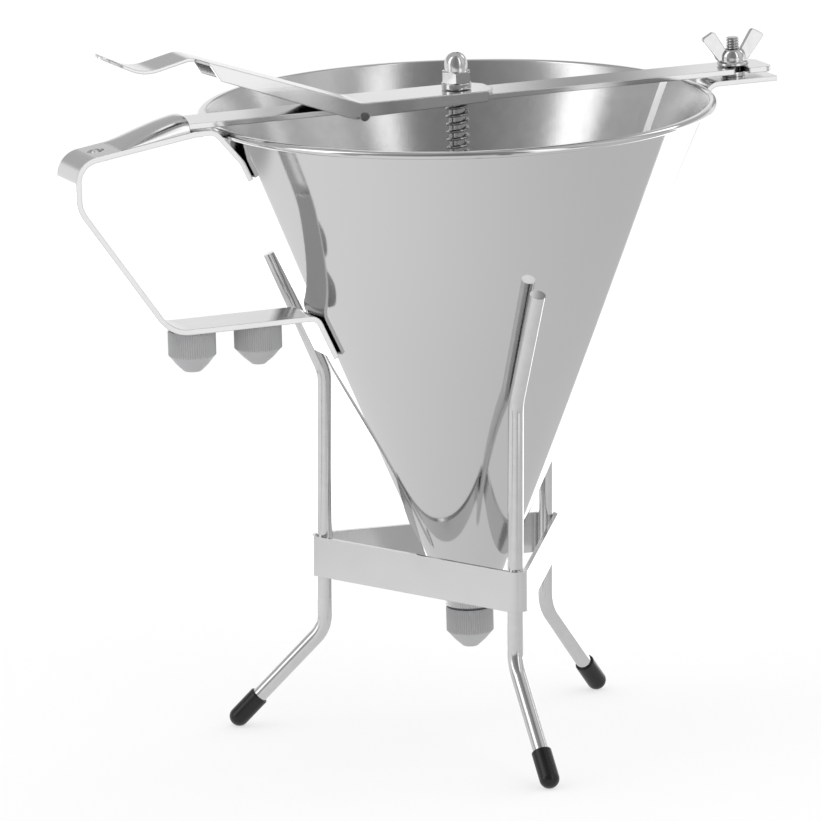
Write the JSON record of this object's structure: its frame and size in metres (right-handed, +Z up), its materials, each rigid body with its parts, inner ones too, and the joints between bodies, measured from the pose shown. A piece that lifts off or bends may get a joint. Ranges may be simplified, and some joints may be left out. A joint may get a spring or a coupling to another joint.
{
  "type": "pancake batter dispenser",
  "caption": "Steel batter funnel with a thumb lever valve, strap handle and spare nozzles, standing in a three-legged wire stand with rubber feet.",
  "frame": {"origin": "floor level, under the axis of the three-legged stand", "axes": "+Z up, the handle points to -X and a little to -Y, and a viewer in front looks along +Y"},
  "size_m": [0.2627, 0.19, 0.2655],
  "materials": {
    "brushed_sheet": "satin",
    "polished_steel": "polished",
    "bright_hardware": "polished",
    "spring_wire": "drawn",
    "black_rubber": "satin",
    "grey_plastic": "matte"
  },
  "bodies": {
    "stand": {"stand_band": "polished_steel", "stand_rod_left": "polished_steel", "stand_rod_front": "polished_steel", "stand_rod_right": "polished_steel", "foot_cap_left": "black_rubber", "foot_cap_front": "black_rubber", "foot_cap_right": "black_rubber"},
    "funnel": {"funnel_cone": "brushed_sheet", "outlet_collar": "brushed_sheet", "sealing_ring": "black_rubber", "handle_strap": "polished_steel", "bar_hood": "polished_steel", "clamp_bracket": "polished_steel", "clamp_stud": "bright_hardware", "spacer_washer": "bright_hardware", "cross_bar": "polished_steel", "pivot_knuckle": "polished_steel", "nozzle_peg_outer": "polished_steel", "nozzle_peg_inner": "polished_steel", "valve_spring": "spring_wire"},
    "lever": {"lever": "polished_steel", "pivot_pin": "bright_hardware"},
    "valve": {"valve_rod": "polished_steel", "valve_plug": "black_rubber", "spring_stop": "bright_hardware", "nut_washer": "bright_hardware", "cap_nut": "bright_hardware"},
    "wing_nut": {"wing_nut": "bright_hardware"},
    "mounted_nozzle": {"nozzle_mounted": "grey_plastic"},
    "outer_spare_nozzle": {"spare_nozzle_outer": "grey_plastic"},
    "inner_spare_nozzle": {"spare_nozzle_inner": "grey_plastic"}
  },
  "joints": [
    {"name": "funnel_lift", "type": "slide", "parent": "stand", "child": "funnel", "axis": [0, 0, 1], "range_m": [0, 0.15]},
    {"name": "lever_press", "type": "hinge", "parent": "funnel", "child": "lever", "pos_m": [-0.03937, -0.01546, 0.2377], "axis": [0.3826, -0.9239, 0.01], "range_deg": [0, 10], "stiffness_Nm_per_rad": 1.1, "springref_deg": -12.03},
    {"name": "valve_lift", "type": "slide", "parent": "funnel", "child": "valve", "axis": [-0.0262, 0, 0.9997], "range_m": [0, 0.0084], "deforming": ["valve_spring"]},
    {"name": "wing_nut_turn", "type": "hinge", "parent": "funnel", "child": "wing_nut", "pos_m": [0.10029, 0.04248, 0.24766], "axis": [-0.0262, 0, 0.9997], "continuous": true},
    {"name": "mounted_nozzle_off", "type": "slide", "parent": "funnel", "child": "mounted_nozzle", "axis": [0.0262, 0, -0.9997], "range_m": [0, 0.012]},
    {"name": "outer_nozzle_off", "type": "slide", "parent": "funnel", "child": "outer_spare_nozzle", "axis": [0.0262, 0, -0.9997], "range_m": [0, 0.012]},
    {"name": "inner_nozzle_off", "type": "slide", "parent": "funnel", "child": "inner_spare_nozzle", "axis": [0.0262, 0, -0.9997], "range_m": [0, 0.012]}
  ],
  "couplings": [
    {"joint": "valve_lift", "follows": "lever_press", "m_per_rad": 0.0475}
  ]
}
